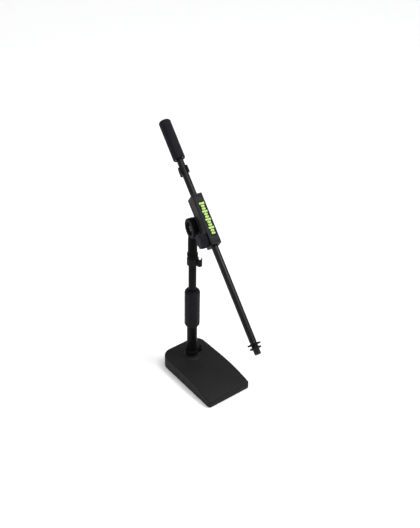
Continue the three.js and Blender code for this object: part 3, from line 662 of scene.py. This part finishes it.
def make_neck():
    low, _ = extent("swivel_neck", 2)
    flange = low - PIVOT.z
    shoulder = flange + 7
    mesh = bmesh.new()
    turned(mesh, rounded([
        (0, flange + 0.3), (FLANGE_RADIUS - 0.2, flange + 0.3, 0.8),
        (FLANGE_RADIUS - 0.2, shoulder - 1.6, 0.8), (STEM_RADIUS + 0.9, shoulder, 1.2),
        (STEM_RADIUS - 0.1, shoulder + 1.2, 1), (STEM_RADIUS - 0.1, -34, 4),
        (STEM_RADIUS - 0.6, -26, 4), (STEM_RADIUS - 2.4, -18, 3), (5, -14, 2), (0, -13),
    ], 4), 64)
    move_since(mesh, 0, HEAD)
    start = len(mesh.verts)
    turned(mesh, rounded([
        (0, -FACE_IN + 0.2), (DISC_RADIUS - 0.2, -FACE_IN + 0.2, 1),
        (DISC_RADIUS - 0.2, -FACE_OUT - 0.3, 1.8),
        (16, -FACE_OUT - 0.3, 0.6), (15, DISH - 0.3, 0.8), (10.2, DISH - 0.3, 0.8), (9, DISH - 1.4, 0.6),
        (9, TILT_BOLT_SEAT, 0.5), (0, TILT_BOLT_SEAT),
    ], 4), FINE_SIDES)
    move_since(mesh, start, NECK_DISC)
    blended("neck_casting", mesh, Matrix(), 0.55, 4, DIE_CAST, "swivel", ["swivel_neck"])

    rim = DISH + 1
    lathe("neck_bolt_ring", [
        (8.85, rim - 3.4), (10.4, rim - 3.4), (10.4, rim, 0.5), (8.85, rim, 0.35),
    ], NECK_DISC, DIE_CAST, "swivel", sides=FINE_SIDES)

    head = TILT_BOLT_SEAT + 0.3
    mesh = bmesh.new()
    cap = 6.9
    turned(mesh, rounded([(3.5, head + 1.2), (3.5, head + 4.2, 0.2), (cap, head + 4.2, 0.8),
                          (cap, head, 0.4), (3.5, head)], 4), 72, knurl(48, cap, 0.18))
    turned(mesh, [(0, head), (3.6, head), (3.6, head + 1.3), (0, head + 1.3)], 24)
    turned(mesh, rounded([(3.05, head + 1.2), (3.05, head + 4, 0.15), (3.6, head + 4),
                          (3.6, head + 1.2)], 2), 6)
    turned(mesh, rounded([(0, -35), (3.9, -35, 0.4), (3.9, head + 0.2), (0, head + 0.2)], 3), 32)
    finish_piece("tilt_cap_screw", mesh, NECK_DISC, BLACK_STEEL, "swivel", ["tilt_bolt"])


def knurl(count, outer, depth):
    """Fine grooves round a rim."""
    def shape(radius, height, angle):
        if radius < outer - 0.05:
            return radius, height
        return radius - depth * (0.5 - 0.5 * cos(angle * count)), height
    return shape


# ---------------------------------------------------------------- clamp block

BLOCK_WIDTH, BLOCK_HEIGHT = 25.4, 36
BLOCK_REAR, BLOCK_FRONT, BLOCK_CAP = -58, 69, 5
BLOCK_SIDE, BLOCK_CORNER = 15.1, 1.8
BLOCK_NEAR = BLOCK_SIDE - BLOCK_WIDTH / 2
BLOCK_FAR = BLOCK_SIDE + BLOCK_WIDTH / 2
BLOCK_TOP = BOOM_RISE + BLOCK_HEIGHT / 2
BLOCK_BOTTOM = BOOM_RISE - BLOCK_HEIGHT / 2
BADGE_REAR, BADGE_FRONT, BADGE_SIDE, BADGE_HALF = -36, 49, 17.6, 7.4
BADGE_DEPTH = 1.6
PANEL_DEPTH, PANEL_SLOPE = 0.5, 0.5
BOOM_RADIUS = 8


def block_section(bore, inset=0.0, pocket=0.0, panel=0.0):
    """Outer loop and matching bore loop (y, z) across the block, about the block's centre.

    The top can dip by a pocket and the two sides by a panel, so every section has the same points.
    """
    half_width, half_height = BLOCK_WIDTH / 2 - inset, BLOCK_HEIGHT / 2 - inset
    corner = max(BLOCK_CORNER - inset, 0.4)
    rise = 11.5
    lip = BADGE_HALF + 0.3
    raw = []
    for side in (1, -1):
        raw += [(side * half_width, -side * half_height, corner), (side * half_width, -side * rise),
                (side * (half_width - panel), -side * (rise - PANEL_SLOPE)),
                (side * (half_width - panel), side * (rise - PANEL_SLOPE)), (side * half_width, side * rise),
                (side * half_width, side * half_height, corner)]
        dip = pocket if side > 0 else 0
        middle = BADGE_SIDE - BLOCK_SIDE
        wall = side * (lip - 0.15)
        raw += [(middle + side * lip, side * half_height), (middle + wall, side * half_height - dip),
                (middle - wall, side * half_height - dip), (middle - side * lip, side * half_height)]
    outer = rounded(raw, 5)
    dense = []
    for i, point in enumerate(outer):
        dense.append(point)
        following = outer[(i + 1) % len(outer)]
        if (following - point).length > 6:
            dense += [point.lerp(following, k / 4) for k in (1, 2, 3)]
    offset = Vector((BOOM_SIDE - BLOCK_SIDE, 0))
    inner = []
    for point in dense:
        ray = point - offset
        inner.append(offset + ray.normalized() * bore)
    return dense, inner


def block_solid(mesh, stations, bore):
    """Bar with a bore. stations: (along, inset, pocket, panel) from rear to front."""
    outer, inner = [], []
    for along, inset, pocket, panel in stations:
        loop, hole = block_section(bore, inset, pocket, panel)
        outer.append([(along, BLOCK_SIDE + y, BOOM_RISE + z) for y, z in loop])
        inner.append([(along, BLOCK_SIDE + y, BOOM_RISE + z) for y, z in hole])
    chamfer = [[(along, BLOCK_SIDE + y, BOOM_RISE + z) for y, z in block_section(bore + 0.6)[1]]
               for along in (stations[0][0], stations[-1][0])]
    ends = [inner[0][:], inner[-1][:]]
    lead = 0.6
    ends[0] = [(x + lead, y, z) for x, y, z in ends[0]]
    ends[1] = [(x - lead, y, z) for x, y, z in ends[1]]
    loft(mesh, outer + [chamfer[1], ends[1], ends[0], chamfer[0]], closed=True)


def edge_stations(low, high, radius, steps=4):
    """Rounded end edges for a bar: (along, inset) pairs for the rear end and the front end."""
    rear, front = [], []
    for k in range(steps + 1):
        angle = k / steps * pi / 2
        rear.append((low + radius * (1 - sin(angle)), radius * (1 - cos(angle))))
        front.append((high - radius * (1 - sin(angle)), radius * (1 - cos(angle))))
    return list(reversed(rear)), front


def make_block():
    cap_rear, cap_front = BLOCK_REAR + BLOCK_CAP, BLOCK_FRONT - BLOCK_CAP
    rear, front = edge_stations(cap_rear + 0.3, cap_front - 0.3, 0.5, 3)
    rear = [(a, i, 0, 0) for a, i in rear]
    front = [(a, i, 0, 0) for a, i in front]
    panel_rear, panel_front = -46, 30
    pocket_low, pocket_high = BADGE_REAR - 0.3, BADGE_FRONT + 0.3
    stations = rear + [(panel_rear, 0, 0, 0), (panel_rear + PANEL_SLOPE, 0, 0, PANEL_DEPTH),
                       (pocket_low, 0, 0, PANEL_DEPTH), (pocket_low + 0.1, 0, BADGE_DEPTH, PANEL_DEPTH),
                       (panel_front - PANEL_SLOPE, 0, BADGE_DEPTH, PANEL_DEPTH),
                       (panel_front, 0, BADGE_DEPTH, 0),
                       (pocket_high - 0.1, 0, BADGE_DEPTH, 0), (pocket_high, 0, 0, 0)] + front
    mesh = bmesh.new()
    block_solid(mesh, stations, BOOM_RADIUS + 1.6)
    finish_piece("block_body", mesh, TILT, BLOCK_PLASTIC, "boom_block", ["block_shell"], sharp=30)

    for name, node, low, high in (("block_end_front", "block_cap_front", cap_front, BLOCK_FRONT),
                                  ("block_end_rear", "block_cap_rear", BLOCK_REAR, cap_rear)):
        mesh = bmesh.new()
        outside, inside = 1.0, 0.3
        rear, front = edge_stations(low, high, outside, 5)
        if node == "block_cap_front":
            rear = edge_stations(low, high, inside, 3)[0]
        else:
            front = edge_stations(low, high, inside, 3)[1]
        block_solid(mesh, [(a, i, 0, 0) for a, i in rear + front], BOOM_RADIUS + 0.5)
        finish_piece(name, mesh, TILT, BLOCK_PLASTIC, "boom_block", [node], sharp=30)

    mesh = bmesh.new()
    floor = BLOCK_TOP - BADGE_DEPTH + 0.2
    bar(mesh, (BADGE_REAR, BADGE_SIDE - BADGE_HALF, floor),
        (BADGE_FRONT, BADGE_SIDE + BADGE_HALF, BLOCK_TOP - 0.5), 0.35, 3)
    finish_piece("badge_panel", mesh, TILT, PLASTIC, "boom_block", ["badge_plate"])
    make_level_marks()
    make_lug()


def make_level_marks():
    """A plain level-meter motif: bars of different lengths across a spine."""
    bars, bar_share, margin, wave = 12, 0.68, 1.5, 2.1
    spine, shortest, longest = 0.8, 3.6, BADGE_HALF - 0.9
    pitch = (BADGE_FRONT - BADGE_REAR - 2 * margin) / bars
    start = BADGE_REAR + margin
    floor, top = BLOCK_TOP - 0.45, BLOCK_TOP + 0.15
    mesh = bmesh.new()
    edge = 0.18
    bar(mesh, (start, BADGE_SIDE - spine, floor),
        (start + (bars - 1 + bar_share) * pitch, BADGE_SIDE + spine, top), edge)
    for i in range(bars):
        low = start + i * pitch
        reach = shortest + (longest - shortest) * (0.5 + 0.5 * cos(i * wave))
        bar(mesh, (low, BADGE_SIDE - reach, floor),
            (low + pitch * bar_share, BADGE_SIDE + reach, top), edge)
    finish_piece("level_marks", mesh, TILT, LIME, "boom_block", ["badge_bars"])


def make_lug():
    """Tilting half of the friction joint, with its flange under the block."""
    near, far = FACE_IN + 2, BLOCK_FAR - 1
    under = BLOCK_BOTTOM - 0.3
    plate = 4.7
    mesh = bmesh.new()
    turned(mesh, rounded([
        (4.6, -far + 0.2), (12, -far + 0.2, 1), (13, -far + 1.4, 1), (DISC_RADIUS - 5, -far + 1.4, 1),
        (DISC_RADIUS - 4, -far + 0.2, 1), (DISC_RADIUS - 0.8, -far + 0.2, 2.2),
        (DISC_RADIUS - 0.8, -near - 0.2, 1), (4.6, -near - 0.2),
    ], 4), FINE_SIDES)
    move_since(mesh, 0, ALONG_MINUS_Y)
    flange = 43.8
    bar(mesh, (-flange, BLOCK_NEAR + 6.3, under - plate + 0.2), (flange, BLOCK_FAR - 2.2, under - 0.2),
        1.2, 4)
    bar(mesh, (-15, near + 1.2, 5), (15, far - 1.2, under - 1.2), 1.5, 4)
    for side in (-1, 1):
        gusset = rounded([(side * 13, 14), (side * 34, under - plate + 1, 3), (side * 13, under - 2)], 4)
        loft(mesh, [[(x, y, z) for x, z in gusset] for y in (BLOCK_SIDE - 1.8, BLOCK_SIDE + 1.8)])
    blended("lug_casting", mesh, TILT, 0.6, 4, DIE_CAST, "boom_block", ["tilt_lug"])
    head_top = under - plate - 0.3
    for index, station in enumerate((-36, 36)):
        mesh = bmesh.new()
        turned(mesh, rounded([(0, head_top - 1), (1.6, head_top - 1), (1.6, head_top - 2.6, 0.1),
                              (3.6, head_top - 2.6, 0.8), (3.6, head_top, 0.3), (1.9, head_top),
                              (1.9, head_top + 10, 0.5), (0, head_top + 10)], 4), 36)
        finish_piece(f"flange_screw_{index + 1}", mesh, TILT @ Matrix.Translation((station, BLOCK_SIDE, 0)),
                     BLACK_STEEL, "boom_block", [f"lug_screw_{index + 1}"])


# ---------------------------------------------------------------- clamp knob

KNOB_RADIUS, KNOB_LENGTH, KNOB_LOBES, KNOB_SCALLOP = 18, 17.4, 8, 1.9


def make_knob():
    low = -BLOCK_NEAR + 2.2
    high = low + KNOB_LENGTH
    smooth = 10.5                    # inside this radius the knob has no scallops

    def scallops(radius, height, angle):
        if radius < smooth:
            return radius, height
        wave = (0.5 - 0.5 * cos(angle * KNOB_LOBES)) ** 0.7
        share = min(1, (radius - smooth) / 4) * min(1, max(0, (height - low - 1) / 3))
        return radius - KNOB_SCALLOP * wave * share, height

    lathe("knob_grip", [
        (3.3, low), (KNOB_RADIUS - 2.4, low, 0.8), (KNOB_RADIUS - 0.1, low + 3, 1.2),
        (KNOB_RADIUS, high - 1, 2.4),
        (KNOB_RADIUS - 3, high, 2.4), (10.4, high, 0.4), (9.4, high - 0.7, 0.3), (9.3, high - 1.7),
        (3.3, high - 1.7),
    ], KNOB, RUBBER, "knob", ["clamp_knob"], sides=KNOB_LOBES * 18, shape=scallops, steps=5)
    lathe("knob_disc", [
        (0, high - 1.4), (9, high - 1.4, 0.2), (9, high - 0.4, 0.4), (7.4, high + 0.15, 0.6),
        (6.4, high + 0.15, 0.3), (5.8, high - 0.2, 0.3), (0, high - 0.1),
    ], KNOB, PLASTIC, "knob", ["knob_cap"])


# ---------------------------------------------------------------- boom

BOOM_BORE, BOOM_REAR, BOOM_FRONT = 6.9, -250, 305.5
THREAD_RADIUS, THREAD_TIP, THREAD_PITCH = 7.9, 335, 25.4 / 27
RING_THICKNESS = 3
WING_STATION, WING_RADIUS, EAR_REACH, EAR_HALF, EAR_TURN = 309.5, 12.5, 15.4, 4.1, 0.39
RING_STATION, RING_RADIUS = 318.5, 13.5
WEIGHT_REAR, WEIGHT_FRONT, WEIGHT_RADIUS = -257, -154.5, 14.6
CLIP_STATION, CLIP_WIDTH = -127, 16


def make_boom():
    lathe("boom_pipe", [
        (BOOM_BORE, BOOM_REAR), (BOOM_RADIUS, BOOM_REAR, 0.4), (BOOM_RADIUS, BOOM_FRONT, 0.7),
        (BOOM_BORE, BOOM_FRONT, 0.3),
    ], BOOM, BOOM_TUBE, "boom", ["boom_tube"], sides=FINE_SIDES)
    make_thread()
    make_rings()
    make_counterweight()
    matrix = BOOM @ Matrix.Translation((0, 0, CLIP_STATION - CLIP_WIDTH / 2))
    cable_clip("boom_clip_band", matrix, BOOM_RADIUS, CLIP_WIDTH, "boom_clip", "boom_cable_clip")


def make_thread():
    """Stud with a cut 27-per-inch thread: one helical groove from the shoulder to the tip."""
    sides, per_turn = 36, 8
    shoulder, start = BOOM_FRONT + 0.3, BOOM_FRONT + 1.5
    depth, lead_out, cup = 0.42, 1, THREAD_TIP - 0.6
    run = THREAD_TIP - lead_out - start
    section = [(0, shoulder), (THREAD_RADIUS - 0.3, shoulder)]
    steps = int(run / THREAD_PITCH * per_turn)
    section += [(THREAD_RADIUS, start + run * k / steps) for k in range(steps + 1)]
    section += [(THREAD_RADIUS - 0.9, THREAD_TIP), (4.2, THREAD_TIP), (3.6, cup), (0, cup)]

    def groove(radius, height, angle):
        if radius < THREAD_RADIUS - 0.01:
            return radius, height
        phase = (height / THREAD_PITCH - angle / (2 * pi)) % 1
        return radius - depth * (1 - abs(2 * phase - 1)), height

    mesh = bmesh.new()
    turned(mesh, section, sides, groove)
    plug, plug_rear = BOOM_BORE - 0.3, BOOM_FRONT - 20
    turned(mesh, [(0, plug_rear), (plug, plug_rear), (plug, shoulder), (0, shoulder)], sides)
    finish_piece("mic_thread", mesh, BOOM, BLACK_THREAD, "boom", ["thread_stud"], sharp=70)


def make_rings():
    bore, root = THREAD_RADIUS + 0.3, 10
    low, high = WING_STATION, WING_STATION + RING_THICKNESS
    mesh = bmesh.new()
    turned(mesh, rounded([(bore, low), (WING_RADIUS, low, 0.7), (WING_RADIUS, high, 0.7),
                          (bore, high, 0.3)], 4), 144, knurl(48, WING_RADIUS, 0.3))
    start = len(mesh.verts)
    for side in (-1, 1):
        ear = rounded([(side * root, -EAR_HALF), (side * EAR_REACH, -EAR_HALF, 3),
                       (side * EAR_REACH, EAR_HALF, 3), (side * root, EAR_HALF)], 6)
        loft(mesh, [[(x * (1 - i / 16), y * (1 - i / 5), z) for x, y in ear]
                    for z, i in ((low + 0.1, 0.35), (low + 0.4, 0), (high - 0.4, 0), (high - 0.1, 0.35))])
    move_since(mesh, start, Matrix.Rotation(pi / 2 + EAR_TURN, 4, "Z"))
    finish_piece("lock_ring_eared", mesh, BOOM, PLASTIC, "wing", ["lock_wing"])

    low, high = RING_STATION, RING_STATION + RING_THICKNESS
    mesh = bmesh.new()
    turned(mesh, rounded([(bore, low), (RING_RADIUS, low, 0.7), (RING_RADIUS, high, 0.7),
                          (bore, high, 0.3)], 4), 180, knurl(36, RING_RADIUS, 0.45))
    finish_piece("lock_ring_knurled", mesh, BOOM, PLASTIC, "ring", ["lock_ring"])


def make_counterweight():
    floor, bore = WEIGHT_REAR + 4.2, 11.8
    lathe("weight_sleeve", [
        (0, WEIGHT_REAR), (WEIGHT_RADIUS - 3.4, WEIGHT_REAR, 1.2), (WEIGHT_RADIUS, WEIGHT_REAR + 3, 2),
        (WEIGHT_RADIUS, WEIGHT_FRONT - 1.4, 1), (WEIGHT_RADIUS - 1.8, WEIGHT_FRONT, 0.8),
        (12.2, WEIGHT_FRONT, 0.6), (bore, WEIGHT_FRONT - 1, 0.3), (bore, floor), (0, floor),
    ], BOOM, RUBBER, "boom", ["counterweight_sleeve"], sides=GRIP_FACETS * FACET_STEPS,
        shape=facets(GRIP_FACETS, WEIGHT_RADIUS), steps=5)


make_base()
make_column()
make_neck()
make_block()
make_knob()
make_boom()

# ---------------------------------------------------------------- carried-over CAD parts

CARRIED = {
    FOAM: ["base_pad"],
    ZINC: ["base_bolt", "base_washer", "pole_foot_plug", "swivel_stud", "counterweight_core"],
    BLACK_STEEL: ["tilt_washer", "tilt_nut", "knob_screw", "knob_washer"],
    NYLON: ["tube_guide", "clutch_collet", "tube_stop", "friction_disc", "liner_rear", "liner_front",
            "clamp_shoe", "tail_plug"],
}
for material, names in CARRIED.items():
    for name in names:
        data = frame["nodes"][name].data
        data.materials.clear()
        data.materials.append(material)

# ---------------------------------------------------------------- stage, light, camera

FLOOR_GREY, FLOOR_RADIUS = 0.92, 9
HORIZON_STRENGTH, OVERHEAD_STRENGTH = 0.92, 0.16
SUN_STRENGTH, SUN_SPREAD, SUN_FROM = 2.45, 75, (0.2, 0.1, 0.97)
CAMERA_AT = (1.61498, -1.27098, 1.86356)
CAMERA_ELEVATION, CAMERA_HEADING, CAMERA_ROLL = 36.42, -38.49, 1.05
CAMERA_LENS, CAMERA_SENSOR = 75, 36


def make_floor():
    mesh = bmesh.new()
    bmesh.ops.create_circle(mesh, cap_ends=True, radius=FLOOR_RADIUS, segments=FINE_SIDES)
    data = bpy.data.meshes.new("floor")
    mesh.to_mesh(data)
    mesh.free()
    floor = bpy.data.objects.new("floor", data)
    bpy.context.scene.collection.objects.link(floor)
    material = bpy.data.materials.new("pale_floor")
    material.use_nodes = True
    shader = material.node_tree.nodes["Principled BSDF"]
    shader.inputs["Base Color"].default_value = (FLOOR_GREY, FLOOR_GREY, FLOOR_GREY, 1)
    shader.inputs["Roughness"].default_value = 0.9
    shader.inputs["Specular IOR Level"].default_value = 0.1
    data.materials.append(material)


def softbox(name, at, target, width, height, watts):
    light = bpy.data.lights.new(name, "AREA")
    light.shape = "RECTANGLE"
    light.size, light.size_y = width, height
    light.energy = watts
    lamp = bpy.data.objects.new(name, light)
    lamp.location = at
    lamp.rotation_euler = (Vector(target) - Vector(at)).to_track_quat("-Z", "Y").to_euler()
    lamp.visible_camera = False
    bpy.context.scene.collection.objects.link(lamp)


def make_world():
    """Pale room: bright near the horizon, dimmer overhead."""
    world = bpy.data.worlds.new("studio")
    world.use_nodes = True
    tree = world.node_tree
    background = tree.nodes["Background"]
    background.inputs["Color"].default_value = (0.95, 0.96, 0.98, 1)
    direction = tree.nodes.new("ShaderNodeTexCoord").outputs["Generated"]
    split = tree.nodes.new("ShaderNodeSeparateXYZ")
    tree.links.new(direction, split.inputs["Vector"])
    fade = tree.nodes.new("ShaderNodeMapRange")
    fade.interpolation_type = "SMOOTHSTEP"
    fade.inputs["From Min"].default_value = 0.1
    fade.inputs["From Max"].default_value = 0.5
    fade.inputs["To Min"].default_value = HORIZON_STRENGTH
    fade.inputs["To Max"].default_value = OVERHEAD_STRENGTH
    tree.links.new(split.outputs["Z"], fade.inputs["Value"])
    tree.links.new(fade.outputs["Result"], background.inputs["Strength"])
    bpy.context.scene.world = world


def make_light():
    sun = bpy.data.lights.new("broad_key", "SUN")
    sun.energy = SUN_STRENGTH
    sun.angle = radians(SUN_SPREAD)
    lamp = bpy.data.objects.new("broad_key", sun)
    lamp.rotation_euler = Vector(SUN_FROM).to_track_quat("Z", "Y").to_euler()
    bpy.context.scene.collection.objects.link(lamp)
    middle = (0, 0, 0.25)
    softbox("high_right", (0.76, 0.72, 1.95), middle, 0.6, 0.8, 20)
    softbox("left_strip", (-0.35, -1.75, 1.15), middle, 0.3, 1.4, 5)


def make_camera():
    """Camera that looks the way the photograph does: elevation, heading and a slight roll."""
    elevation, heading = radians(CAMERA_ELEVATION), radians(CAMERA_HEADING)
    roll = radians(CAMERA_ROLL)
    back = Vector((cos(heading) * cos(elevation), sin(heading) * cos(elevation), sin(elevation)))
    right = (-back).cross(Vector((0, 0, 1))).normalized()
    up = right.cross(-back)
    turned_right = right * cos(roll) + up * sin(roll)
    turned_up = up * cos(roll) - right * sin(roll)
    camera_data = bpy.data.cameras.new("camera")
    camera_data.lens = CAMERA_LENS
    camera_data.sensor_width = CAMERA_SENSOR
    camera = bpy.data.objects.new("camera", camera_data)
    rotation = Matrix((turned_right, turned_up, back)).transposed().to_4x4()
    camera.matrix_world = Matrix.Translation(CAMERA_AT) @ rotation
    bpy.context.scene.collection.objects.link(camera)
    bpy.context.scene.camera = camera


make_floor()
make_world()
make_light()
make_camera()
bpy.context.scene.view_settings.view_transform = "Standard"
